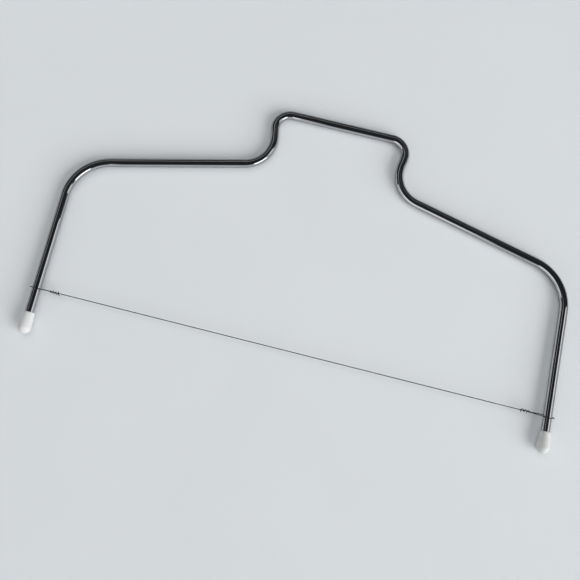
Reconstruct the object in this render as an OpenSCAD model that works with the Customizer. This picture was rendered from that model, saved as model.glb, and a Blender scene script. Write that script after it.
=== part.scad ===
// Cake leveler: a bow bent from one bright round rod, with a cutting wire
// looped round both legs and a soft cap on each foot.
// It lies flat as on a worktop: +X along the wire, +Y from the feet to the
// handle, +Z up. The bow leans a little, because the caps are fatter than the rod.

/* [Bow] */
// Diameter of the round rod
rod_d = 5; // [4:0.1:6]
// Distance between the axes of the two legs
leg_spacing = 300; // [240:1:340]
// Straight length of the handle bar, between its two bends
handle_len = 62; // [50:1:80]
// Bend radius at each end of the handle, to the rod's axis
handle_bend_r = 9.3; // [7:0.1:14]
// How far each neck leans in past square, in degrees
neck_lean = 9.7; // [0:0.1:15]
// Straight length of each neck
neck_len = 5.5; // [1:0.5:20]
// Bend radius from the neck into the shoulder, to the rod's axis
neck_bend_r = 18.1; // [10:0.1:30]
// Slope of each shoulder down to its corner, in degrees
shoulder_slope = 13.6; // [5:0.1:20]
// Bend radius from the shoulder into the leg, to the rod's axis
corner_bend_r = 26.5; // [15:0.5:40]
// Straight length of each leg, from its corner to the mouth of its cap
leg_len = 71; // [50:1:100]
// How much thinner the rod is in its bends, where bending has drawn it
bend_thinning = 0.05; // [0.02:0.01:0.1]

/* [Foot caps] */
// Largest diameter of a cap, at its ball end
cap_d = 7.4; // [7:0.1:9]
// Diameter of a cap at its mouth
cap_mouth_d = 6.3; // [6.2:0.1:6.8]
// Whole length of a cap
cap_len = 12.4; // [10:0.1:18]
// Depth of the socket in a cap
cap_socket = 8.4; // [6:0.1:9]
// Rounding of the outer edge of the mouth
cap_rim_r = 0.35; // [0.1:0.05:0.5]
// Free space round the rod in its socket
cap_fit = 0.03; // [0.01:0.01:0.1]
// Chamfer on each end of the rod
rod_chamfer = 0.5; // [0.2:0.1:1]

/* [Cutting wire] */
// Diameter of the cutting wire
wire_d = 0.5; // [0.4:0.05:0.6]
// Height of the left eye above its cap
left_height = 14.3; // [6:0.1:40]
// Height of the right eye above its cap
right_height = 8.7; // [6:0.1:40]
// Free space between an eye and the rod, above and below it
eye_gap = 0.3; // [0.2:0.05:0.6]
// Free space between the tip of an eye and the rod, on the outside of the leg
eye_tip_gap = 1.1; // [0.7:0.1:2]
// Bend radius at the tip of an eye, to the wire's axis
eye_tip_r = 1.6; // [1:0.1:2.4]
// Lean of an eye's upper strand towards the cap, in degrees
eye_lean = 18; // [0:1:25]
// Length of the open strands between the left leg and the twist
left_strands = 5; // [4:0.5:12]
// Length of the open strands between the right leg and the twist
right_strands = 9; // [4:0.5:12]
// Length of the twist at the left end
left_twist = 6.4; // [4:0.1:12]
// Length of the twist at the right end
right_twist = 4.8; // [4:0.1:12]
// Length of wire that one turn of the twist takes up
twist_pitch = 3.6; // [3.2:0.1:6]
// Free space between the two strands of a twist
twist_gap = 0.42; // [0.41:0.01:0.8]
// Length over which the straight wire swings out into the twist
twist_lead = 2.4; // [1:0.1:3]
// How far the cut tail lifts off the straight wire
tail_lift = 0.3; // [0:0.05:0.6]
// Length of the straight wire that is counted with an eye, past its cut tail
eye_stem = 1.5; // [1:0.1:4]

/* [Hidden] */
$fn = 96;

// Sides of the wire's tube, and rings in one full turn of it
wire_sides = 8;
turn_rings = 24;

// How far a straight length runs into the bend beside it, inside which it stays the thicker
lap = 0.1;

rod_r = rod_d / 2;
wire_r = wire_d / 2;

// Headings of the rod's axis, in degrees: along the neck and along the shoulder
neck_heading = -(90 + neck_lean);
shoulder_heading = -shoulder_slope;
leg_heading = -90;

// Step along a bend of radius r from heading a to heading b
function bend_step(r, a, b) =
    sign(b - a) * r * [sin(b) - sin(a), cos(a) - cos(b)];

// Ends of the parts of the right half of the rod's axis, from the middle of the handle
handle_end = [handle_len / 2, 0];
neck_top = handle_end + bend_step(handle_bend_r, 0, neck_heading);
neck_end = neck_top + neck_len * [cos(neck_heading), sin(neck_heading)];
shoulder_top = neck_end + bend_step(neck_bend_r, neck_heading, shoulder_heading);
corner_step = bend_step(corner_bend_r, shoulder_heading, leg_heading);
shoulder_len = (leg_spacing / 2 - shoulder_top.x - corner_step.x) / cos(shoulder_slope);
shoulder_end = shoulder_top + shoulder_len * [cos(shoulder_heading), sin(shoulder_heading)];
leg_top = shoulder_end + corner_step;
leg_x = leg_spacing / 2;
cap_mouth_y = leg_top.y - leg_len;
cap_ball_y = cap_mouth_y - (cap_len - cap_d / 2);
rod_end_y = cap_mouth_y - cap_socket;

// Lean of the whole bow, so that the handle and both caps touch the worktop
cap_r = cap_d / 2;
lie_angle = -asin((cap_r - rod_r) / -cap_ball_y);
handle_out_y = rod_r;
feet_out_y = cap_ball_y * cos(lie_angle) - cap_r;
middle_y = (handle_out_y + feet_out_y) / 2;

// Cap profile: the wall is a cone that touches the ball and the rounded mouth
mouth_r = cap_mouth_d / 2;
mouth_h = cap_len - cap_r;
socket_r = rod_r + cap_fit;
rim_r = min(cap_rim_r, 0.9 * (mouth_r - socket_r));
flare = asin(cap_r / norm([mouth_r, mouth_h])) - atan2(mouth_r, mouth_h);
rim_h = mouth_h - rim_r;
rim_x = (cap_r - rim_r - rim_h * sin(flare)) / cos(flare);

// Eye and twist of the wire, in the plane of the eye
eye_r = rod_r + eye_gap + wire_r;
tip_centre = rod_r + eye_tip_gap + wire_r - eye_tip_r;
tip_angle = acos((eye_r - eye_tip_r) / tip_centre);
strand_pitch = wire_d + twist_gap;
left_eye = [-leg_x, cap_mouth_y + left_height, 0];
right_eye = [leg_x, cap_mouth_y + right_height, 0];

// Lays the flat bow down on the worktop
module laid() {
    translate([0, -middle_y, rod_r]) rotate([lie_angle, 0, 0]) children();
}

// A straight length of rod, lapped into the bends at its ends, and what follows it
module straight(len) {
    translate([-lap, 0, 0]) rotate([0, 90, 0]) cylinder(d = rod_d, h = len + 2 * lap);
    translate([len, 0, 0]) children();
}

// A bend of the rod through an angle, to the left if positive, and what follows it
module bend(r, angle) {
    side = sign(angle);
    translate([0, side * r, 0]) {
        rotate([0, 0, side > 0 ? -90 : 90 + angle])
            rotate_extrude(angle = abs(angle)) translate([r, 0]) circle(d = rod_d - bend_thinning);
        rotate([0, 0, angle]) translate([0, -side * r, 0]) children();
    }
}

// A leg down to its free end, chamfered where it enters the cap
module leg() {
    plain = leg_top.y - rod_end_y - rod_chamfer;
    rotate([0, 90, 0]) {
        translate([0, 0, -lap]) cylinder(d = rod_d, h = plain + lap);
        translate([0, 0, plain])
            cylinder(d1 = rod_d, d2 = rod_d - 2 * rod_chamfer, h = rod_chamfer);
    }
}

// The right side of the rod, from the end of the handle bar to the foot
module side_rod() {
    translate([handle_len / 2, 0, 0])
        bend(handle_bend_r, neck_heading)
            straight(neck_len)
                bend(neck_bend_r, shoulder_heading - neck_heading)
                    straight(shoulder_len)
                        bend(corner_bend_r, leg_heading - shoulder_heading)
                            leg();
}

module bow_rod() {
    color("silver") laid() {
        translate([-handle_len / 2, 0, 0]) straight(handle_len);
        side_rod();
        mirror([1, 0, 0]) side_rod();
    }
}

// A soft cap with a ball end and a blind socket, its ball at the origin, its mouth up
module foot_cap() {
    rotate_extrude() difference() {
        union() {
            intersection() {
                circle(r = cap_r);
                translate([0, -cap_r]) square([cap_r, 2 * cap_r]);
            }
            polygon([
                [0, 0],
                cap_r * [cos(flare), sin(flare)],
                [rim_x, rim_h] + rim_r * [cos(flare), sin(flare)],
                [rim_x, rim_h],
                [rim_x, mouth_h],
                [0, mouth_h]
            ]);
            translate([rim_x, rim_h]) circle(r = rim_r);
        }
        translate([0, mouth_h - cap_socket]) square([socket_r, cap_socket + rim_r]);
    }
}

module left_foot_cap() {
    color("whitesmoke") laid()
        translate([-leg_x, cap_ball_y, 0]) rotate([-90, 0, 0]) foot_cap();
}

module right_foot_cap() {
    color("whitesmoke") laid()
        translate([leg_x, cap_ball_y, 0]) rotate([-90, 0, 0]) foot_cap();
}

// Soft step from 0 to 1
function ease(t) = let (c = max(0, min(1, t))) c * c * (3 - 2 * c);

// Point of one strand of a twist, a distance s from its straight end, as
// [along the wire, across, sideways], with the leg's axis at the origin
function strand_point(s, twist, strands, far) = let (
        lead = ease(s / twist_lead),
        near = strand_pitch / 2 * lead,
        away = far ? strand_pitch - near + tail_lift * (1 - lead) : near,
        turn = (far ? -90 : 90) + 360 * (twist - s) / twist_pitch
    ) [s - twist - strands - rod_r, away * sin(turn), away * cos(turn)];

// Points on an arc of the eye, from angle a down to angle b
function eye_arc(centre, r, a, b) = let (n = ceil((a - b) * turn_rings / 360))
    [for (i = [0 : n]) let (t = a + (b - a) * i / n) [centre + r * cos(t), r * sin(t), 0]];

// Where the straight wire ends and an eye's stem begins
function stem_start(twist, strands) = [-(twist + strands + rod_r + eye_stem), 0, 0];

// One end of the wire: in along the twist, round the leg and back to the cut tail
function wire_end(twist, strands) = let (
        n = ceil(twist / twist_pitch * turn_rings / 2),
        start = [-strands - rod_r, strand_pitch / 2],
        touch = atan2(start.y, start.x) - acos(eye_r / norm(start)),
        tail = [for (i = [n : -1 : 0]) strand_point(twist * i / n, twist, strands, true)],
        out = tail[n] - tail[n - 1]
    ) concat(
        [stem_start(twist, strands)],
        [for (i = [0 : n]) strand_point(twist * i / n, twist, strands, false)],
        eye_arc(0, eye_r, touch, tip_angle),
        eye_arc(tip_centre, eye_tip_r, tip_angle, -tip_angle),
        eye_arc(0, eye_r, -tip_angle, -touch),
        tail,
        [tail[n] + out / norm(out) * wire_d]
    );

function unit(v) = v / norm(v);

// Places the points of a wire end at its eye, with the wire leaving along -dir
function placed(points, eye, dir) = let (
        lean = [0, -sin(eye_lean), cos(eye_lean)],
        up = unit(lean - (lean * dir) * dir),
        side = cross(dir, up)
    ) [for (p = points) eye + p.x * dir + p.y * up + p.z * side];

// Drops points that lie on the one before them
function distinct(points) =
    [for (i = [0 : len(points) - 1]) if (i == 0 || norm(points[i] - points[i - 1]) > 0.01) points[i]];

wire_dir = unit(right_eye - left_eye);
left_path = distinct(placed(wire_end(left_twist, left_strands), left_eye, -wire_dir));
right_path = distinct(placed(wire_end(right_twist, right_strands), right_eye, wire_dir));

// A round tube along a path that never runs along the Y axis
module tube(path, d, sides) {
    n = len(path);
    rings = [for (i = [0 : n - 1]) let (
            t = unit(path[min(i + 1, n - 1)] - path[max(i - 1, 0)]),
            a = unit(cross(t, [0, 1, 0])),
            b = cross(t, a)
        ) for (k = [0 : sides - 1]) path[i] + d / 2 * (cos(360 * k / sides) * a + sin(360 * k / sides) * b)];
    walls = [for (i = [0 : n - 2], k = [0 : sides - 1]) let (
            p = i * sides + k,
            q = i * sides + (k + 1) % sides
        ) each [[p, q, p + sides], [q, q + sides, p + sides]]];
    last = (n - 1) * sides;
    ends = [for (k = [1 : sides - 2]) each [[0, k + 1, k], [last, last + k, last + k + 1]]];
    polyhedron(rings, concat(walls, ends));
}

// Least free space between stretches of a path that aren't neighbours along it
function along(path) = [for (i = 0, s = 0; i < len(path);
    s = s + norm(path[min(i + 1, len(path) - 1)] - path[i]), i = i + 1) s];
near_run = 3 * strand_pitch;
function own_gap(path) = let (run = along(path))
    min([for (i = [0 : len(path) - 1], j = [i + 1 : 1 : len(path) - 1])
        if (run[j] - run[i] > near_run) norm(path[i] - path[j])]) - wire_d;
echo(least_gap_of_the_wire_to_itself = min(own_gap(left_path), own_gap(right_path)));

// The taut straight wire between the stems of its two eyes
module cutting_wire() {
    span = right_path[0] - left_path[0];
    color("lightslategray") laid() translate(left_path[0])
        rotate([0, 90, atan2(span.y, span.x)]) cylinder(d = wire_d, h = norm(span));
}

module left_wire_eye() {
    color("lightslategray") laid() tube(left_path, wire_d, wire_sides);
}

module right_wire_eye() {
    color("lightslategray") laid() tube(right_path, wire_d, wire_sides);
}

bow_rod();
left_foot_cap();
right_foot_cap();
cutting_wire();
left_wire_eye();
right_wire_eye();
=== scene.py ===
"""The cake leveler, dressed for its picture.

A bow bent from one bright round rod lies on a pale surface. A soft cap sits on each foot,
and a thin cutting wire is wound round both legs. The object's sizes and the camera's place
are in millimetres, as in the part's source. The studio's sizes and the finishes' reliefs
are in metres, and every mesh is written in metres in the part's own frame.
"""

import logging
import math
from collections.abc import Iterable, Sequence
from dataclasses import dataclass, field
from enum import Enum

import bpy
from mathutils import Matrix, Vector


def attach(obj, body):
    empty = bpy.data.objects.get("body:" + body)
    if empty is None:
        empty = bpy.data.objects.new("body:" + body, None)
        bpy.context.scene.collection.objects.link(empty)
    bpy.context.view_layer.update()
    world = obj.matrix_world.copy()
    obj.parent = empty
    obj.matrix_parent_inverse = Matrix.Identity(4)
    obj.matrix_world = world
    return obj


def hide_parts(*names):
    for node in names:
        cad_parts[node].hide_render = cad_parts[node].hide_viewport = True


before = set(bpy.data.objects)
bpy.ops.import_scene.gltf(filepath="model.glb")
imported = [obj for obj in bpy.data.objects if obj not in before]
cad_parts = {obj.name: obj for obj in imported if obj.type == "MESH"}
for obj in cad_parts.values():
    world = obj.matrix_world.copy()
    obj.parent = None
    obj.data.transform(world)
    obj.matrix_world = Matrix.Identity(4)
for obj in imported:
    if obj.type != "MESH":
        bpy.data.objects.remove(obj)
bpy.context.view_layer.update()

log = logging.getLogger("cake_leveler")

MM = 0.001
UP = Vector((0.0, 0.0, 1.0))
# The mesh attribute that holds each point's straightened place
RUN = "straightened"

Colour = tuple[float, float, float]
Tone = Colour | bpy.types.NodeSocket
Number = float | bpy.types.NodeSocket


class Body(Enum):
    """The moving bodies that pieces ride on."""

    BOW = "bow"
    WIRE = "wire"


class Slot(Enum):
    """The material slots that the record names."""

    ROD = "bright_rod"
    CAP = "soft_cap"
    WIRE = "cutting_wire"


class Side(Enum):
    """The left or the right leg, as the sign of its x."""

    LEFT = -1
    RIGHT = 1


class Mix(Enum):
    """What a Mix node mixes: its data type, its two inputs and its output."""

    VECTOR = ("VECTOR", 4, 5, 1)
    COLOUR = ("RGBA", 6, 7, 2)


# Meshes


def ease(t: float) -> float:
    """Soft step from 0 to 1.

    Args:
        t: Where on the step, from 0 to 1.

    Returns:
        The height of the step there.
    """
    c = min(max(t, 0.0), 1.0)
    return c * c * (3.0 - 2.0 * c)


def rgba(colour: Colour) -> tuple[float, float, float, float]:
    """The colour with full alpha."""
    return (*colour, 1.0)


@dataclass
class Shell:
    """A mesh in the making: points in millimetres, faces, and each point's straightened place."""

    points: list[Vector] = field(default_factory=list)
    faces: list[tuple[int, ...]] = field(default_factory=list)
    straight: list[Vector] = field(default_factory=list)

    def ring(self, points: Iterable[Vector], straight: Iterable[Vector]) -> int:
        """Adds a ring of points.

        Args:
            points: Where the points lie.
            straight: Where they would lie if the piece were straightened out.

        Returns:
            The number of the ring's first point.
        """
        first = len(self.points)
        self.points.extend(points)
        self.straight.extend(straight)
        return first

    def band(self, low: int, high: int, sides: int) -> None:
        """Joins two rings with a closed band of faces.

        Args:
            low: First point of one ring.
            high: First point of the next ring.
            sides: Points in each ring.
        """
        for k in range(sides):
            n = (k + 1) % sides
            self.faces.append((low + k, low + n, high + n, high + k))

    def fan(self, first: int, sides: int, tip: Vector, straight: Vector, outward: bool) -> None:
        """Closes a ring with a fan of triangles round one point.

        Args:
            first: First point of the ring.
            sides: Points in the ring.
            tip: The middle of the fan.
            straight: The middle's straightened place.
            outward: Whether the fan faces along the ring's run.
        """
        middle = len(self.points)
        self.points.append(tip)
        self.straight.append(straight)
        for k in range(sides):
            n = (k + 1) % sides
            a, b = (k, n) if outward else (n, k)
            self.faces.append((first + a, first + b, middle))

    def make(self, name: str, place: Matrix) -> bpy.types.Object:
        """Writes the mesh and its object.

        Args:
            name: The piece's name.
            place: Moves the points, still in millimetres, into the part's frame.

        Returns:
            The new object, at the origin, with its place in its mesh.
        """
        mesh = bpy.data.meshes.new(name)
        mesh.from_pydata([(place @ p) * MM for p in self.points], [], self.faces)
        run = mesh.attributes.new(RUN, "FLOAT_VECTOR", "POINT")
        run.data.foreach_set("vector", [c * MM for p in self.straight for c in p])
        mesh.polygons.foreach_set("use_smooth", [True] * len(mesh.polygons))
        mesh.update()
        made = bpy.data.objects.new(name, mesh)
        bpy.context.scene.collection.objects.link(made)
        return made


@dataclass
class Sweep:
    """A round bar or wire along a path, closed at both ends.

    The path never runs along the direction across, from which each ring's sides are counted.
    """

    path: Sequence[Vector]
    radii: Sequence[float]
    sides: int
    across: Vector

    def shell(self) -> Shell:
        """The bar's mesh.

        Returns:
            A closed tube, with each ring square to the path.
        """
        shell, rings, run = Shell(), [], 0.0
        last = len(self.path) - 1
        turns = [math.tau * k / self.sides for k in range(self.sides)]
        for i, point in enumerate(self.path):
            if i:
                run += (point - self.path[i - 1]).length
            heading = (self.path[min(i + 1, last)] - self.path[max(i - 1, 0)]).normalized()
            a = heading.cross(self.across).normalized()
            b = heading.cross(a)
            r = self.radii[i]
            rings.append(
                shell.ring(
                    [point + r * (math.cos(t) * a + math.sin(t) * b) for t in turns],
                    [Vector((r * math.cos(t), r * math.sin(t), run)) for t in turns],
                )
            )
        for low, high in zip(rings, rings[1:]):
            shell.band(low, high, self.sides)
        shell.fan(rings[0], self.sides, self.path[0].copy(), Vector((0, 0, 0)), False)
        shell.fan(rings[-1], self.sides, self.path[-1].copy(), Vector((0, 0, run)), True)
        return shell


# Finishes


class Board:
    """A node tree that is filled node by node."""

    def __init__(self, tree: bpy.types.NodeTree) -> None:
        """Starts on an empty tree.

        Args:
            tree: The tree to fill.
        """
        self.tree = tree
        self.tree.nodes.clear()

    def put(
        self, kind: str, inputs: dict[int | str, object] | None = None, **settings: object
    ) -> bpy.types.Node:
        """Places a node.

        Args:
            kind: The node's Blender type.
            inputs: Values or sockets for its inputs, by name or number.
            settings: The node's own settings.

        Returns:
            The new node.
        """
        node = self.tree.nodes.new(kind)
        for name, value in settings.items():
            setattr(node, name, value)
        for key, value in (inputs or {}).items():
            if isinstance(value, bpy.types.NodeSocket):
                self.tree.links.new(value, node.inputs[key])
            else:
                node.inputs[key].default_value = value
        return node

    def math(self, operation: str, *values: Number) -> bpy.types.NodeSocket:
        """The outcome of a sum on one to three values or sockets."""
        return self.put("ShaderNodeMath", dict(enumerate(values)), operation=operation).outputs[0]

    def scaled(self, vector: bpy.types.NodeSocket, scale: Colour) -> bpy.types.NodeSocket:
        """A vector, stretched along its axes."""
        node = self.put("ShaderNodeVectorMath", {0: vector, 1: scale}, operation="MULTIPLY")
        return node.outputs[0]

    def noise(
        self, vector: bpy.types.NodeSocket, scale: Number, detail: float = 3.0, rough: float = 0.5
    ) -> bpy.types.NodeSocket:
        """Noise over the surface.

        Args:
            vector: Where the noise is read.
            scale: How fine it is, as a value or a socket.
            detail: Its octaves.
            rough: How strong each finer octave is.

        Returns:
            The noise value.
        """
        inputs = {"Vector": vector, "Scale": scale, "Detail": detail, "Roughness": rough}
        return self.put("ShaderNodeTexNoise", inputs).outputs[0]

    def remap(
        self, value: bpy.types.NodeSocket, low: float, high: float, to_low: float, to_high: float
    ) -> bpy.types.NodeSocket:
        """Stretches one range of a value softly to another.

        Args:
            value: The value.
            low: Where the range starts.
            high: Where it ends.
            to_low: What the start becomes.
            to_high: What the end becomes.

        Returns:
            The stretched value, which stays inside its new range.
        """
        inputs = {0: value, 1: low, 2: high, 3: to_low, 4: to_high}
        node = self.put("ShaderNodeMapRange", inputs, interpolation_type="SMOOTHSTEP")
        return node.outputs[0]

    def mix(self, kind: Mix, share: Number, a: object, b: object) -> bpy.types.NodeSocket:
        """Mixes two values or sockets of one kind.

        Args:
            kind: What is mixed.
            share: How much of b, from 0 to 1.
            a: One end.
            b: The other end.

        Returns:
            The mixture.
        """
        data_type, first, second, outcome = kind.value
        node = self.put("ShaderNodeMix", {0: share, first: a, second: b}, data_type=data_type)
        return node.outputs[outcome]

    def blend(self, share: bpy.types.NodeSocket, a: Tone, b: Tone) -> bpy.types.NodeSocket:
        """A colour between a and b by a share, each of them written or from a socket."""
        ends = [rgba(tone) if isinstance(tone, tuple) else tone for tone in (a, b)]
        return self.mix(Mix.COLOUR, share, *ends)

    def end_in_principled(self, inputs: dict[int | str, object]) -> None:
        """Ends a material's own tree in a Principled shader with these inputs."""
        shader = self.put("ShaderNodeBsdfPrincipled", inputs)
        self.put("ShaderNodeOutputMaterial", {"Surface": shader.outputs[0]})


class Effect(Enum):
    """The node groups that the finishes are made with."""

    HANDLING = "handling_marks"
    DRAWING = "drawing_lines"
    SPECKS = "dust_specks"


def group_board(
    effect: Effect, inputs: dict[str, float], outputs: Sequence[str]
) -> tuple[Board, bpy.types.Node, bpy.types.ShaderNodeTree]:
    """Starts a node group with named sockets.

    Args:
        effect: Which group.
        inputs: Its number inputs with their usual values, besides Vector.
        outputs: Its number outputs.

    Returns:
        The group's board, its input node and its tree.
    """
    tree = bpy.data.node_groups.new(effect.value, "ShaderNodeTree")
    tree.interface.new_socket("Vector", in_out="INPUT", socket_type="NodeSocketVector")
    for name, usual in inputs.items():
        socket = tree.interface.new_socket(name, in_out="INPUT", socket_type="NodeSocketFloat")
        socket.default_value = usual
    for name in outputs:
        tree.interface.new_socket(name, in_out="OUTPUT", socket_type="NodeSocketFloat")
    board = Board(tree)
    return board, board.put("NodeGroupInput"), tree


@dataclass(frozen=True)
class HandlingMarks:
    """Finger smudges and short fine scratches, as the masks Smudge and Scratch."""

    smudge_detail: float = 4.0
    smudge_rough: float = 0.62
    smudge_from: float = 0.46
    smudge_to: float = 0.72
    warp_scale: float = 140.0
    warp_share: float = 0.004
    stretch: Colour = (1.0, 1.0, 0.12)
    hair_detail: float = 2.0
    hair_rough: float = 0.4
    hair_width: float = 0.012
    patch_scale: float = 210.0
    patch_from: float = 0.54
    patch_to: float = 0.66

    def tree(self) -> bpy.types.ShaderNodeTree:
        """Builds the group.

        Returns:
            The group's tree.
        """
        board, given, tree = group_board(
            Effect.HANDLING, {"Smudge Scale": 60.0, "Scratch Scale": 900.0}, ("Smudge", "Scratch")
        )
        vector = given.outputs["Vector"]
        cloud = board.noise(
            vector, given.outputs["Smudge Scale"], self.smudge_detail, self.smudge_rough
        )
        smudge = board.remap(cloud, self.smudge_from, self.smudge_to, 0.0, 1.0)
        warp = board.put(
            "ShaderNodeTexNoise", {"Vector": vector, "Scale": self.warp_scale, "Detail": 1.0}
        ).outputs[1]
        bent = board.mix(Mix.VECTOR, self.warp_share, vector, warp)
        long_way = board.scaled(bent, self.stretch)
        hair = board.noise(
            long_way, given.outputs["Scratch Scale"], self.hair_detail, self.hair_rough
        )
        off_middle = board.math("ABSOLUTE", board.math("SUBTRACT", hair, 0.5))
        line = board.remap(off_middle, 0.0, self.hair_width, 1.0, 0.0)
        patch = board.noise(vector, self.patch_scale, detail=2.0)
        here = board.remap(patch, self.patch_from, self.patch_to, 0.0, 1.0)
        scratch = board.math("MULTIPLY", line, here)
        board.put("NodeGroupOutput", {"Smudge": smudge, "Scratch": scratch})
        return tree


@dataclass(frozen=True)
class DrawingLines:
    """Fine lines along a drawn rod or wire, as the value Lines."""

    detail: float = 3.0
    rough: float = 0.6

    def tree(self) -> bpy.types.ShaderNodeTree:
        """Builds the group.

        Returns:
            The group's tree.
        """
        board, given, tree = group_board(
            Effect.DRAWING, {"Scale": 2500.0, "Stretch": 0.01}, ("Lines",)
        )
        split = board.put("ShaderNodeSeparateXYZ", {0: given.outputs["Vector"]})
        slow = board.math("MULTIPLY", split.outputs[2], given.outputs["Stretch"])
        joined = board.put(
            "ShaderNodeCombineXYZ", {0: split.outputs[0], 1: split.outputs[1], 2: slow}
        )
        lines = board.noise(joined.outputs[0], given.outputs["Scale"], self.detail, self.rough)
        board.put("NodeGroupOutput", {"Lines": lines})
        return tree


@dataclass(frozen=True)
class DustSpecks:
    """Scattered small specks, as the mask Specks."""

    patch_scale: float = 260.0
    patch_from: float = 0.56

    def tree(self) -> bpy.types.ShaderNodeTree:
        """Builds the group.

        Returns:
            The group's tree.
        """
        board, given, tree = group_board(Effect.SPECKS, {"Scale": 900.0, "Size": 0.12}, ("Specks",))
        vector = given.outputs["Vector"]
        cell = board.put(
            "ShaderNodeTexVoronoi", {"Vector": vector, "Scale": given.outputs["Scale"]}
        )
        dot = board.math("LESS_THAN", cell.outputs["Distance"], given.outputs["Size"])
        patch = board.noise(vector, self.patch_scale, detail=1.0)
        few = board.math("GREATER_THAN", patch, self.patch_from)
        board.put("NodeGroupOutput", {"Specks": board.math("MULTIPLY", dot, few)})
        return tree


class EffectShelf:
    """Keeps each shared node group, built once."""

    makers = {
        Effect.HANDLING: HandlingMarks,
        Effect.DRAWING: DrawingLines,
        Effect.SPECKS: DustSpecks,
    }

    def __init__(self) -> None:
        """Builds every group."""
        self.trees = {effect: maker().tree() for effect, maker in self.makers.items()}

    def use(self, board: Board, effect: Effect, **inputs: object) -> bpy.types.Node:
        """Places a group in a material.

        Args:
            board: The material's board.
            effect: Which group.
            inputs: Values or sockets for the group's inputs, with _ for a space.

        Returns:
            The group's node.
        """
        named = {key.replace("_", " "): value for key, value in inputs.items()}
        return board.put("ShaderNodeGroup", named, node_tree=self.trees[effect])

    def handled(
        self, board: Board, place: bpy.types.NodeSocket, smudge_scale: float, scratch_scale: float
    ) -> tuple[bpy.types.NodeSocket, bpy.types.NodeSocket]:
        """Places handling marks in a material.

        Args:
            board: The material's board.
            place: Where on the surface the marks are read.
            smudge_scale: How fine the smudges are.
            scratch_scale: How fine the scratches are.

        Returns:
            The mask of the smudges and the mask of the scratches.
        """
        scales = {"Smudge_Scale": smudge_scale, "Scratch_Scale": scratch_scale}
        marks = self.use(board, Effect.HANDLING, Vector=place, **scales)
        return marks.outputs["Smudge"], marks.outputs["Scratch"]

    def drawn(
        self, board: Board, run: bpy.types.NodeSocket, scale: float, stretch: float
    ) -> bpy.types.NodeSocket:
        """Places drawing lines in a material.

        Args:
            board: The material's board.
            run: The surface's straightened place.
            scale: How fine the lines are.
            stretch: How fast they change along the run, beside how fast across it.

        Returns:
            The value of the lines.
        """
        lines = self.use(board, Effect.DRAWING, Vector=run, Scale=scale, Stretch=stretch)
        return lines.outputs["Lines"]


def new_material(name: str) -> tuple[bpy.types.Material, Board]:
    """An empty node material and its board.

    Args:
        name: The material's name.

    Returns:
        The material and a board on its tree.
    """
    material = bpy.data.materials.new(name)
    material.use_nodes = True
    return material, Board(material.node_tree)


@dataclass(frozen=True)
class BrightPlating:
    """Mirror-bright plating on a drawn rod, handled a little."""

    plate: Colour = (0.51, 0.516, 0.53)
    smudged: Colour = (0.455, 0.46, 0.47)
    edge: Colour = (0.10, 0.101, 0.104)
    clean_roughness: float = 0.02
    smudged_roughness: float = 0.06
    scratch_roughness: float = 0.16
    smudge_scale: float = 70.0
    scratch_scale: float = 1300.0
    wave_stretch: Colour = (1.0, 1.0, 0.22)
    wave_scale: float = 170.0
    wave_height: float = 0.000003
    line_scale: float = 2600.0
    line_stretch: float = 0.008
    line_height: float = 0.0000006

    def material(self, shelf: EffectShelf) -> bpy.types.Material:
        """Builds the material.

        Args:
            shelf: The shared effects.

        Returns:
            The material.
        """
        material, board = new_material("bright_plating")
        run = board.put("ShaderNodeAttribute", attribute_name=RUN).outputs["Vector"]
        smudge, scratch = shelf.handled(board, run, self.smudge_scale, self.scratch_scale)
        lines = shelf.drawn(board, run, self.line_scale, self.line_stretch)
        colour = board.blend(smudge, self.plate, self.smudged)
        dull = board.remap(smudge, 0.0, 1.0, self.clean_roughness, self.smudged_roughness)
        dull = board.math("MULTIPLY_ADD", scratch, self.scratch_roughness, dull)
        wave = board.noise(board.scaled(run, self.wave_stretch), self.wave_scale, detail=1.0)
        wavy = board.put("ShaderNodeBump", {"Distance": self.wave_height, "Height": wave})
        fine = board.put(
            "ShaderNodeBump",
            {"Distance": self.line_height, "Height": lines, "Normal": wavy.outputs[0]},
        )
        board.end_in_principled(
            {
                "Base Color": colour,
                "Metallic": 1.0,
                "Roughness": dull,
                "Specular Tint": rgba(self.edge),
                "Normal": fine.outputs[0],
            }
        )
        return material


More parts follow.
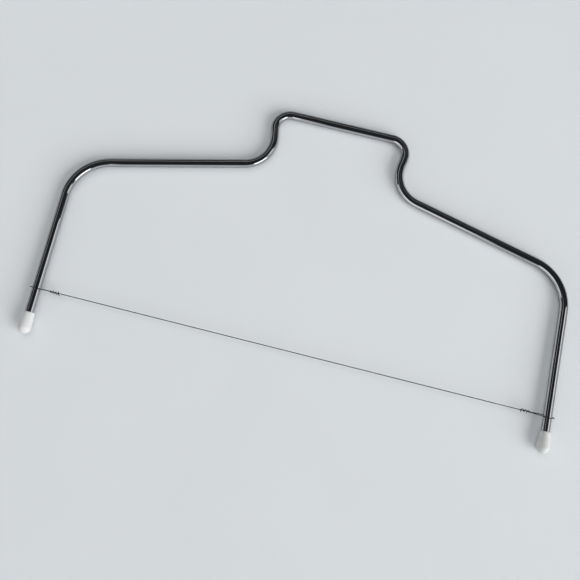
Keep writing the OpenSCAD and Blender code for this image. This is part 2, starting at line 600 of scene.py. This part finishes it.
@dataclass(frozen=True)
class MilkyCap:
    """Soft milky plastic with a fine matte skin, a few specks and scuffs."""

    clean: Colour = (0.60, 0.612, 0.605)
    worn: Colour = (0.50, 0.507, 0.495)
    speck: Colour = (0.34, 0.33, 0.31)
    worn_share: float = 0.55
    speck_share: float = 0.5
    smudge_scale: float = 260.0
    scratch_scale: float = 1500.0
    speck_scale: float = 1100.0
    speck_size: float = 0.16
    clean_roughness: float = 0.42
    worn_roughness: float = 0.56
    skin_scale: float = 2600.0
    skin_relief: float = 0.5
    swell_scale: float = 420.0
    swell_relief: float = 1.6
    scratch_relief: float = 0.5
    skin_height: float = 0.00003
    ior: float = 1.46
    milk: float = 0.25
    milk_radius: Colour = (1.0, 0.95, 0.9)
    milk_depth: float = 0.0012

    def material(self, shelf: EffectShelf) -> bpy.types.Material:
        """Builds the material.

        Args:
            shelf: The shared effects.

        Returns:
            The material.
        """
        material, board = new_material("milky_cap")
        place = board.put("ShaderNodeTexCoord").outputs["Object"]
        smudge, scratch = shelf.handled(board, place, self.smudge_scale, self.scratch_scale)
        dust = shelf.use(
            board, Effect.SPECKS, Vector=place, Scale=self.speck_scale, Size=self.speck_size
        )
        worn = board.math("MULTIPLY", smudge, self.worn_share)
        colour = board.blend(worn, self.clean, self.worn)
        share = board.math("MULTIPLY", dust.outputs["Specks"], self.speck_share)
        specked = board.blend(share, colour, self.speck)
        dull = board.remap(smudge, 0.0, 1.0, self.clean_roughness, self.worn_roughness)
        pores = board.noise(place, self.skin_scale, rough=0.55)
        skin = board.math("MULTIPLY", pores, self.skin_relief)
        swell = board.noise(place, self.swell_scale, detail=2.0)
        height = board.math("MULTIPLY_ADD", swell, self.swell_relief, skin)
        cut = board.math("MULTIPLY", scratch, self.scratch_relief)
        height = board.math("SUBTRACT", height, cut)
        bump = board.put("ShaderNodeBump", {"Distance": self.skin_height, "Height": height})
        board.end_in_principled(
            {
                "Base Color": specked,
                "Roughness": dull,
                "IOR": self.ior,
                "Subsurface Weight": self.milk,
                "Subsurface Radius": self.milk_radius,
                "Subsurface Scale": self.milk_depth,
                "Normal": bump.outputs[0],
            }
        )
        return material


@dataclass(frozen=True)
class DrawnWire:
    """Thin drawn wire with fine lines along it."""

    bright: Colour = (0.085, 0.087, 0.092)
    dark: Colour = (0.040, 0.041, 0.044)
    clean_roughness: float = 0.26
    smudged_roughness: float = 0.4
    smudge_scale: float = 300.0
    scratch_scale: float = 3000.0
    line_scale: float = 9000.0
    line_stretch: float = 0.01
    line_height: float = 0.000004

    def material(self, shelf: EffectShelf) -> bpy.types.Material:
        """Builds the material.

        Args:
            shelf: The shared effects.

        Returns:
            The material.
        """
        material, board = new_material("drawn_wire")
        run = board.put("ShaderNodeAttribute", attribute_name=RUN).outputs["Vector"]
        smudge, _ = shelf.handled(board, run, self.smudge_scale, self.scratch_scale)
        lines = shelf.drawn(board, run, self.line_scale, self.line_stretch)
        colour = board.blend(lines, self.dark, self.bright)
        dull = board.remap(smudge, 0.0, 1.0, self.clean_roughness, self.smudged_roughness)
        bump = board.put("ShaderNodeBump", {"Distance": self.line_height, "Height": lines})
        board.end_in_principled(
            {"Base Color": colour, "Metallic": 1.0, "Roughness": dull, "Normal": bump.outputs[0]}
        )
        return material


@dataclass(frozen=True)
class PaleSurface:
    """A plain pale worktop with a barely seen grain."""

    light: Colour = (0.700, 0.728, 0.748)
    dark: Colour = (0.655, 0.684, 0.705)
    cloud_scale: float = 14.0
    cloud_share: float = 0.7
    grain_scale: float = 900.0
    grain_share: float = 0.3
    grain_height: float = 0.00004
    roughness: float = 0.7
    gloss: float = 0.25

    def material(self) -> bpy.types.Material:
        """Builds the material.

        Returns:
            The material.
        """
        material, board = new_material("pale_surface")
        place = board.put("ShaderNodeTexCoord").outputs["Object"]
        cloud = board.math("MULTIPLY", board.noise(place, self.cloud_scale), self.cloud_share)
        grain = board.noise(place, self.grain_scale, detail=2.0)
        tone = board.math("MULTIPLY_ADD", grain, self.grain_share, cloud)
        bump = board.put("ShaderNodeBump", {"Distance": self.grain_height, "Height": grain})
        board.end_in_principled(
            {
                "Base Color": board.blend(tone, self.dark, self.light),
                "Roughness": self.roughness,
                "Specular IOR Level": self.gloss,
                "Normal": bump.outputs[0],
            }
        )
        return material


# The object


class Pen:
    """Draws the rod's axis in straights and bends, in its own flat plane."""

    def __init__(self, start: Vector, heading: float, bend_step: float) -> None:
        """Puts the pen down.

        Args:
            start: Where the line starts.
            heading: Its heading in degrees, from +X towards +Y.
            bend_step: Degrees between two points in a bend.
        """
        self.points = [start.copy()]
        self.bent = [False]
        self.heading = heading
        self.bend_step = bend_step

    def ahead(self, length: float) -> Vector:
        """A step of some length the way that the pen is heading."""
        turn = math.radians(self.heading)
        return Vector((math.cos(turn), math.sin(turn), 0.0)) * length

    def straight(self, length: float, pieces: int) -> None:
        """Draws a straight length.

        Args:
            length: How long.
            pieces: How many steps it takes.
        """
        start = self.points[-1]
        for i in range(1, pieces + 1):
            self.points.append(start + self.ahead(length * i / pieces))
            self.bent.append(False)

    def bend(self, radius: float, angle: float) -> None:
        """Draws a bend.

        Args:
            radius: Its radius.
            angle: How far it turns, in degrees, to the left if positive.
        """
        side = math.copysign(1.0, angle)
        turn = math.radians(self.heading)
        centre = self.points[-1] + side * radius * Vector((-math.sin(turn), math.cos(turn), 0.0))
        steps = math.ceil(abs(angle) / self.bend_step)
        for i in range(1, steps + 1):
            now = math.radians(self.heading + angle * i / steps)
            out = Vector((math.sin(now), -math.cos(now), 0.0))
            self.points.append(centre + side * radius * out)
            self.bent.append(True)
        self.heading += angle


@dataclass
class Bow:
    """The bent rod: handle bar, necks, shoulders, corners and legs."""

    finish: BrightPlating
    rod_d: float = 5.0
    leg_spacing: float = 300.0
    handle_len: float = 62.0
    handle_bend_r: float = 9.3
    neck_lean: float = 9.7
    neck_len: float = 5.5
    neck_bend_r: float = 18.1
    shoulder_slope: float = 13.6
    corner_bend_r: float = 26.5
    leg_len: float = 71.0
    bend_thinning: float = 0.05
    rod_chamfer: float = 0.5
    socket: float = 8.4
    cap_d: float = 7.4
    cap_len: float = 12.4
    skin: float = 0.006
    sides: int = 72
    bend_step: float = 1.5
    handle_steps: int = 6
    short_steps: int = 2
    long_steps: int = 12

    def half_side(self) -> Pen:
        """The right half's axis, from the middle of the handle to the cap's mouth.

        Returns:
            The pen that drew it.
        """
        pen = Pen(Vector((0, 0, 0)), 0.0, self.bend_step)
        pen.straight(self.handle_len / 2, self.handle_steps)
        pen.bend(self.handle_bend_r, -(90 + self.neck_lean))
        pen.straight(self.neck_len, self.short_steps)
        pen.bend(self.neck_bend_r, 90 + self.neck_lean - self.shoulder_slope)
        pen.straight(self.shoulder_len, self.long_steps)
        pen.bend(self.corner_bend_r, self.shoulder_slope - 90)
        pen.straight(self.leg_len, self.long_steps)
        return pen

    @property
    def shoulder_len(self) -> float:
        """The straight length of a shoulder that leaves the legs their distance."""
        pen = Pen(Vector((self.handle_len / 2, 0, 0)), 0.0, self.bend_step)
        pen.bend(self.handle_bend_r, -(90 + self.neck_lean))
        pen.straight(self.neck_len, 1)
        pen.bend(self.neck_bend_r, 90 + self.neck_lean - self.shoulder_slope)
        corner = Pen(Vector((0, 0, 0)), -self.shoulder_slope, self.bend_step)
        corner.bend(self.corner_bend_r, self.shoulder_slope - 90)
        room = self.leg_spacing / 2 - pen.points[-1].x - corner.points[-1].x
        return room / math.cos(math.radians(self.shoulder_slope))

    @property
    def mouth_y(self) -> float:
        """Where the caps' mouths lie along the flat bow's height."""
        return self.half_side().points[-1].y

    @property
    def ball_y(self) -> float:
        """Where the centres of the caps' balls lie along the flat bow's height."""
        return self.mouth_y - (self.cap_len - self.cap_d / 2)

    @property
    def laid(self) -> Matrix:
        """Lays the flat bow down on the surface, on its handle and both caps."""
        cap_r, rod_r = self.cap_d / 2, self.rod_d / 2
        lean = -math.asin((cap_r - rod_r) / -self.ball_y)
        middle = (rod_r + self.ball_y * math.cos(lean) - cap_r) / 2
        return Matrix.Translation((0, -middle, rod_r)) @ Matrix.Rotation(lean, 4, "X")

    def build(self, shelf: EffectShelf) -> bpy.types.Object:
        """Makes the rod as one unbroken sweep and dresses it.

        Args:
            shelf: The shared effects.

        Returns:
            The rod.
        """
        pen = self.half_side()
        pen.straight(self.socket - self.rod_chamfer, self.short_steps)
        pen.straight(self.rod_chamfer, 1)
        right, bent = pen.points, pen.bent
        path = [Vector((-p.x, p.y, 0)) for p in reversed(right[1:])] + right
        thin = [*reversed(bent[1:]), *bent]
        r = self.rod_d / 2 - self.skin
        radii = [r - (self.bend_thinning / 2 if b else 0.0) for b in thin]
        radii[0] = radii[-1] = r - self.rod_chamfer
        rod = Sweep(path, radii, self.sides, UP).shell().make("bent_bright_rod", self.laid)
        rod.data.materials.append(self.finish.material(shelf))
        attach(rod, Body.BOW.value)
        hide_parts("bow_rod")
        return rod


@dataclass
class FootCap:
    """A soft moulded cap with a ball end, a rounded mouth and a seam from its mould."""

    bow: Bow
    side: Side
    mouth_d: float = 6.3
    rim_r: float = 0.35
    inner_rim_r: float = 0.22
    fit: float = 0.03
    skin: float = 0.02
    skin_inset: float = 0.035
    least_reach: float = 0.001
    seam_width: float = 0.16
    gate_r: float = 0.75
    gate_depth: float = 0.16
    turns: int = 120
    ball_steps: int = 48
    wall_steps: int = 12
    rim_steps: int = 8
    lip_steps: int = 6

    def profile(self) -> list[tuple[float, float]]:
        """The cap's section, from the tip of its ball round the mouth to the socket's floor.

        Returns:
            Pairs of radius and height, with the ball's centre at height 0.
        """
        cap_r, mouth_r = self.bow.cap_d / 2, self.mouth_d / 2
        mouth_h = self.bow.cap_len - cap_r
        socket_r = self.bow.rod_d / 2 + self.fit
        flare = math.asin(cap_r / math.hypot(mouth_r, mouth_h)) - math.atan2(mouth_r, mouth_h)
        rim_h = mouth_h - self.rim_r
        rim_x = (cap_r - self.rim_r - rim_h * math.sin(flare)) / math.cos(flare)
        points = []
        for i in range(1, self.ball_steps + 1):
            turn = -math.pi / 2 + (flare + math.pi / 2) * i / self.ball_steps
            points.append((cap_r * math.cos(turn), cap_r * math.sin(turn)))
        wall_top = (rim_x + self.rim_r * math.cos(flare), rim_h + self.rim_r * math.sin(flare))
        low = points[-1]
        for i in range(1, self.wall_steps):
            share = i / self.wall_steps
            points.append(tuple(a + (b - a) * share for a, b in zip(low, wall_top)))
        for i in range(self.rim_steps + 1):
            turn = flare + (math.pi / 2 - flare) * i / self.rim_steps
            points.append(
                (rim_x + self.rim_r * math.cos(turn), rim_h + self.rim_r * math.sin(turn))
            )
        lip_x = socket_r + self.inner_rim_r
        for i in range(self.lip_steps + 1):
            turn = math.pi / 2 + math.pi / 2 * i / self.lip_steps
            points.append(
                (
                    lip_x + self.inner_rim_r * math.cos(turn),
                    mouth_h - self.inner_rim_r + self.inner_rim_r * math.sin(turn),
                )
            )
        points.append((socket_r, mouth_h - self.bow.socket))
        return points

    def moulded(self, radius: float, height: float, turn: float) -> tuple[float, float]:
        """Adds the mould's marks to a point of the outer skin.

        Args:
            radius: The point's distance from the axis.
            height: Its height above the ball's centre.
            turn: Its angle round the axis.

        Returns:
            The radius and height with the seam left proud and the gate sunk.
        """
        off = abs(math.sin(turn)) * radius
        seam = math.exp(-((off / self.seam_width) ** 2))
        inset = self.skin_inset * (1.0 - seam) + self.skin
        reach = max(math.hypot(radius, min(height, 0.0)), self.least_reach)
        radius -= inset * radius / reach
        if height < 0.0:
            height -= inset * height / reach
            gate = math.exp(-((radius / self.gate_r) ** 4))
            height += self.gate_depth * gate
        return radius, height

    def build(self, material: bpy.types.Material) -> bpy.types.Object:
        """Makes the cap and dresses it.

        Args:
            material: The caps' shared material.

        Returns:
            The cap.
        """
        name, node = f"{self.side.name.lower()}_soft_cap", f"{self.side.name.lower()}_foot_cap"
        shell, rings = Shell(), []
        profile = self.profile()
        # The lip and the socket's floor carry no marks from the mould.
        outer = len(profile) - (self.lip_steps + 2)
        around = [math.tau * k / self.turns for k in range(self.turns)]
        for i, (radius, height) in enumerate(profile):
            ring = []
            for turn in around:
                r, h = self.moulded(radius, height, turn) if i < outer else (radius, height)
                ring.append(Vector((r * math.cos(turn), h, r * math.sin(turn))))
            rings.append(shell.ring(ring, ring))
        for low, high in zip(rings, rings[1:]):
            shell.band(high, low, self.turns)
        bottom = self.gate_depth - self.bow.cap_d / 2
        shell.fan(rings[0], self.turns, Vector((0, bottom, 0)), Vector((0, bottom, 0)), True)
        floor_h = profile[-1][1]
        shell.fan(rings[-1], self.turns, Vector((0, floor_h, 0)), Vector((0, floor_h, 0)), False)
        x = self.side.value * self.bow.leg_spacing / 2
        place = self.bow.laid @ Matrix.Translation((x, self.bow.ball_y, 0))
        cap = shell.make(name, place)
        cap.data.materials.append(material)
        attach(cap, Body.BOW.value)
        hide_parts(node)
        return cap


@dataclass
class CuttingWire:
    """One wire, pulled taut between the legs, with an eye round each leg and a wound tail."""

    bow: Bow
    finish: DrawnWire
    wire_d: float = 0.5
    left_height: float = 14.3
    right_height: float = 8.7
    eye_gap: float = 0.3
    eye_tip_gap: float = 1.1
    eye_tip_r: float = 1.6
    left_lean: float = 8.0
    right_lean: float = 18.0
    left_strands: float = 5.2
    right_strands: float = 7.6
    left_twist: float = 5.8
    right_twist: float = 6.0
    left_turn: float = 1.55
    right_turn: float = 1.7
    wrap_lead: float = 1.6
    twist_gap: float = 0.17
    twist_lead: float = 2.4
    tail_lift: float = 0.3
    skin: float = 0.016
    rings: int = 48
    sides: int = 20
    span_steps: int = 60
    least_step: float = 0.01

    @property
    def pitch(self) -> float:
        """Distance between the axes of the wire and the tail wound round it."""
        return self.wire_d + self.twist_gap

    def strand(self, s: float, twist: float, strands: float, turn: float, tail: bool) -> Vector:
        """A point of one strand of a twist.

        Args:
            s: Distance from the twist's straight end.
            twist: Length of the twist.
            strands: Length of the open strands beside the leg.
            turn: Length of wire that one turn of the twist takes up.
            tail: Whether this is the cut tail, and not the wire itself.

        Returns:
            The point along the wire, across it and sideways, from the leg's axis.
        """
        lead = ease(s / self.twist_lead)
        away = self.pitch / 2 * lead * ease(1.0 - (twist - s) / self.wrap_lead)
        if tail:
            away = self.pitch - away + self.tail_lift * (1 - lead)
        way = math.radians((-90 if tail else 90) + 360 * (twist - s) / turn)
        x = s - twist - strands - self.bow.rod_d / 2
        return Vector((x, away * math.sin(way), away * math.cos(way)))

    def arc(self, centre: float, r: float, a: float, b: float) -> list[Vector]:
        """Points on an arc of the eye.

        Args:
            centre: How far out along the wire the arc's centre lies.
            r: Its radius.
            a: Its first angle, in radians.
            b: Its last angle, lower than the first.

        Returns:
            The points.
        """
        n = math.ceil((a - b) * self.rings / math.tau)
        turns = [a + (b - a) * i / n for i in range(n + 1)]
        return [Vector((centre + r * math.cos(t), r * math.sin(t), 0.0)) for t in turns]

    def end(self, twist: float, strands: float, turn: float) -> list[Vector]:
        """One end of the wire: along the twist, round the leg and back to the cut tail.

        Args:
            twist: Length of the twist.
            strands: Length of the open strands beside the leg.
            turn: Length of wire that one turn of the twist takes up.

        Returns:
            The path, from the straight wire to the tail.
        """
        rod_r, wire_r = self.bow.rod_d / 2, self.wire_d / 2
        eye_r = rod_r + self.eye_gap + wire_r
        tip = rod_r + self.eye_tip_gap + wire_r - self.eye_tip_r
        tip_turn = math.acos((eye_r - self.eye_tip_r) / tip)
        n = math.ceil(twist / turn * self.rings)
        start = (-strands - rod_r, self.pitch / 2)
        touch = math.atan2(start[1], start[0]) - math.acos(eye_r / math.hypot(*start))
        steps = [twist * i / n for i in range(n + 1)]
        tail = [self.strand(s, twist, strands, turn, True) for s in reversed(steps)]
        out = (tail[-1] - tail[-2]).normalized()
        return [
            *[self.strand(s, twist, strands, turn, False) for s in steps],
            *self.arc(0.0, eye_r, touch, tip_turn),
            *self.arc(tip, self.eye_tip_r, tip_turn, -tip_turn),
            *self.arc(0.0, eye_r, -tip_turn, -touch),
            *tail,
            tail[-1] + out * self.wire_d,
        ]

    def placed(
        self, points: Sequence[Vector], eye: Vector, along: Vector, tip: float
    ) -> list[Vector]:
        """Turns an end of the wire into the bow's flat plane, at its eye.

        Args:
            points: The end's path.
            eye: Where the leg's axis goes through the eye.
            along: The way the end points.
            tip: How far the eye tips towards the feet, in degrees.

        Returns:
            The points in the flat bow's plane.
        """
        lean = math.radians(tip)
        tipped = Vector((0, -math.sin(lean), math.cos(lean)))
        up = (tipped - tipped.dot(along) * along).normalized()
        side = along.cross(up)
        return [eye + p.x * along + p.y * up + p.z * side for p in points]

    def path(self) -> list[Vector]:
        """The whole wire's axis, from tail to tail, in the flat bow's plane.

        Returns:
            The points, none of them on the one before it.
        """
        x, mouth = self.bow.leg_spacing / 2, self.bow.mouth_y
        left = Vector((-x, mouth + self.left_height, 0))
        right = Vector((x, mouth + self.right_height, 0))
        along = (right - left).normalized()
        near = self.end(self.left_twist, self.left_strands, self.left_turn)
        far = self.end(self.right_twist, self.right_strands, self.right_turn)
        one = self.placed(near, left, -along, self.left_lean)
        two = self.placed(far, right, along, self.right_lean)
        span = [one[0].lerp(two[0], i / self.span_steps) for i in range(1, self.span_steps)]
        points = [*reversed(one), *span, *two]
        kept = [points[0]]
        for p in points[1:]:
            if (p - kept[-1]).length > self.least_step:
                kept.append(p)
        return kept

    def build(self, shelf: EffectShelf) -> bpy.types.Object:
        """Makes the wire and dresses it.

        Args:
            shelf: The shared effects.

        Returns:
            The wire.
        """
        path = self.path()
        r = self.wire_d / 2 - self.skin
        across = Vector((0, 1, 0))
        wire = Sweep(path, [r] * len(path), self.sides, across).shell()
        made = wire.make("wound_cutting_wire", self.bow.laid)
        made.data.materials.append(self.finish.material(shelf))
        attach(made, Body.WIRE.value)
        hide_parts("cutting_wire", "left_wire_eye", "right_wire_eye")
        return made


# The studio


@dataclass(frozen=True)
class SoftBox:
    """A soft rectangular lamp that faces the object, mirrored in bright surfaces or not."""

    name: str
    azimuth: float
    elevation: float
    distance: float
    wide: float
    tall: float
    share: float
    mirrored: bool = True

    def put(self) -> bpy.types.Object:
        """Hangs the lamp.

        Returns:
            The lamp, with the power that gives its share of a plain light level on the surface.
        """
        a, e = math.radians(self.azimuth), math.radians(self.elevation)
        away = Vector((math.cos(e) * math.cos(a), math.cos(e) * math.sin(a), math.sin(e)))
        lamp = bpy.data.lights.new(self.name, "AREA")
        lamp.shape = "RECTANGLE"
        lamp.size, lamp.size_y = self.wide, self.tall
        # With this power a white surface at the origin shines with the lamp's share of white.
        lamp.energy = self.share * math.pi**2 * self.distance**2 / math.sin(e)
        made = bpy.data.objects.new(self.name, lamp)
        made.location = away * self.distance
        made.rotation_mode = "QUATERNION"
        made.rotation_quaternion = away.to_track_quat("Z", "Y")
        made.visible_camera = False
        made.visible_glossy = self.mirrored
        bpy.context.scene.collection.objects.link(made)
        return made


@dataclass
class Studio:
    """Surface, dim room and soft lamps.

    The room's heights and sides are in degrees. Each turn holds the cosines between which a
    side of the room fades in.
    """

    surface: PaleSurface
    half_width: float = 6.0
    pale_wall: Colour = (0.58, 0.60, 0.62)
    dim_wall: Colour = (0.04, 0.041, 0.044)
    far_wall: Colour = (0.22, 0.228, 0.235)
    ceiling: Colour = (0.024, 0.025, 0.027)
    cove: Colour = (0.95, 0.96, 0.98)
    wall_top: float = 12.0
    ceiling_foot: float = 24.0
    cove_low: float = 53.5
    cove_high: float = 58.5
    cove_fade: float = 0.02
    pale_way: float = -62.0
    pale_turn: tuple[float, float] = (0.19, 0.31)
    far_way: float = 112.0
    far_turn: tuple[float, float] = (0.88, 0.98)
    cove_way: float = 125.0
    cove_turn: tuple[float, float] = (0.0, 0.6)
    # Name, azimuth, elevation, distance, width, height, share of the light, mirrored
    boxes: tuple[SoftBox, ...] = (
        SoftBox("window_box", -26.0, 27.0, 12.0, 12.0, 8.40, 0.51, False),
        SoftBox("window_pane", -35.0, 18.0, 3.0, 1.90, 1.60, 0.070),
        SoftBox("front_left_box", -131.0, 20.0, 3.0, 4.5, 1.60, 0.09),
        SoftBox("left_box", 174.0, 9.0, 3.0, 1.1, 0.45, 0.0018),
        SoftBox("right_strip", 4.4, 31.3, 0.616, 0.21, 0.28, 0.029),
        SoftBox("overhead_fill", 125.0, 68.0, 3.0, 3.4, 3.40, 0.49, False),
    )

    def lay_surface(self) -> bpy.types.Object:
        """Makes the surface that the object lies on.

        Returns:
            The surface, marked as no part of the object.
        """
        h = self.half_width
        mesh = bpy.data.meshes.new("pale_worktop")
        mesh.from_pydata([(-h, -h, 0), (h, -h, 0), (h, h, 0), (-h, h, 0)], [], [(0, 1, 2, 3)])
        mesh.materials.append(self.surface.material())
        made = bpy.data.objects.new("pale_worktop", mesh)
        bpy.context.scene.collection.objects.link(made)
        return made

    def toward(
        self,
        board: Board,
        way: bpy.types.NodeSocket,
        azimuth: float,
        turn: tuple[float, float],
    ) -> bpy.types.NodeSocket:
        """How far a direction turns to one side of the room.

        Args:
            board: The world's board.
            way: The direction.
            azimuth: The side, in degrees from +X towards +Y.
            turn: The cosines where the share is 0 and 1.

        Returns:
            A share from 0 to 1.
        """
        a = math.radians(azimuth)
        side = (math.cos(a), math.sin(a), 0.0)
        dot = board.put("ShaderNodeVectorMath", {0: way, 1: side}, operation="DOT_PRODUCT")
        return board.remap(dot.outputs["Value"], *turn, 0.0, 1.0)

    def dim_room(self) -> bpy.types.World:
        """Makes the room.

        Its walls are dim, with a pale side towards the window and a fainter patch opposite,
        and its dim ceiling has a bright cove on the far side.

        Returns:
            The world.
        """
        world = bpy.data.worlds.new("dim_room")
        world.use_nodes = True
        board = Board(world.node_tree)
        way = board.put("ShaderNodeTexCoord").outputs["Generated"]
        height = board.put("ShaderNodeSeparateXYZ", {0: way}).outputs[2]
        wall_top, ceiling_foot, low, high = (
            math.sin(math.radians(e))
            for e in (self.wall_top, self.ceiling_foot, self.cove_low, self.cove_high)
        )
        far = self.toward(board, way, self.far_way, self.far_turn)
        walls = board.blend(far, self.dim_wall, self.far_wall)
        pale = self.toward(board, way, self.pale_way, self.pale_turn)
        walls = board.blend(pale, walls, self.pale_wall)
        above = board.remap(height, wall_top, ceiling_foot, 0.0, 1.0)
        room = board.blend(above, walls, self.ceiling)
        fade = self.cove_fade
        band = board.math(
            "MULTIPLY",
            board.remap(height, low - fade, low + fade, 0.0, 1.0),
            board.remap(height, high - fade, high + fade, 1.0, 0.0),
        )
        side = self.toward(board, way, self.cove_way, self.cove_turn)
        lit = board.blend(board.math("MULTIPLY", band, side), room, self.cove)
        light = board.put("ShaderNodeBackground", {"Color": lit, "Strength": 1.0})
        board.put("ShaderNodeOutputWorld", {"Surface": light.outputs[0]})
        bpy.context.scene.world = world
        return world

    def build(self) -> list[bpy.types.Object]:
        """Sets the studio up.

        Returns:
            The surface and the lamps.
        """
        self.dim_room()
        return [self.lay_surface(), *[box.put() for box in self.boxes]]


@dataclass
class Viewpoint:
    """The camera, looking down on the object a little from its feet."""

    place: Vector = field(default_factory=lambda: Vector((-13.093, -101.714, 401.364)))
    rightward: Vector = field(default_factory=lambda: Vector((0.973902, 0.220995, 0.051726)))
    upward: Vector = field(default_factory=lambda: Vector((-0.226786, 0.956632, 0.182820)))
    lens: float = 43.448
    sensor: float = 36.0
    nearest: float = 0.01
    farthest: float = 50.0

    def build(self) -> bpy.types.Object:
        """Makes the scene's camera.

        Returns:
            The camera.
        """
        camera = bpy.data.cameras.new("viewpoint")
        camera.lens, camera.sensor_width = self.lens, self.sensor
        camera.clip_start, camera.clip_end = self.nearest, self.farthest
        made = bpy.data.objects.new("viewpoint", camera)
        x = self.rightward.normalized()
        z = x.cross(self.upward).normalized()
        y = z.cross(x)
        axes = Matrix((x, y, z)).transposed().to_4x4()
        made.matrix_world = Matrix.Translation(self.place * MM) @ axes
        bpy.context.scene.collection.objects.link(made)
        bpy.context.scene.camera = made
        return made


def main() -> None:
    """Builds the object, its studio and its camera."""
    logging.basicConfig(level=logging.INFO, format="%(name)s: %(message)s")
    bpy.context.scene.view_settings.view_transform = "Standard"
    shelf = EffectShelf()
    bow = Bow(BrightPlating())
    milky = MilkyCap().material(shelf)
    pieces = [
        bow.build(shelf),
        *[FootCap(bow, side).build(milky) for side in Side],
        CuttingWire(bow, DrawnWire()).build(shelf),
    ]
    for piece in pieces:
        log.info("%s: %d faces", piece.name, len(piece.data.polygons))
    for thing in Studio(PaleSurface()).build():
        log.info("stage: %s", thing.name)
    log.info("camera: %s", Viewpoint().build().name)
    bpy.context.view_layer.update()


if __name__ == "__main__":
    main()
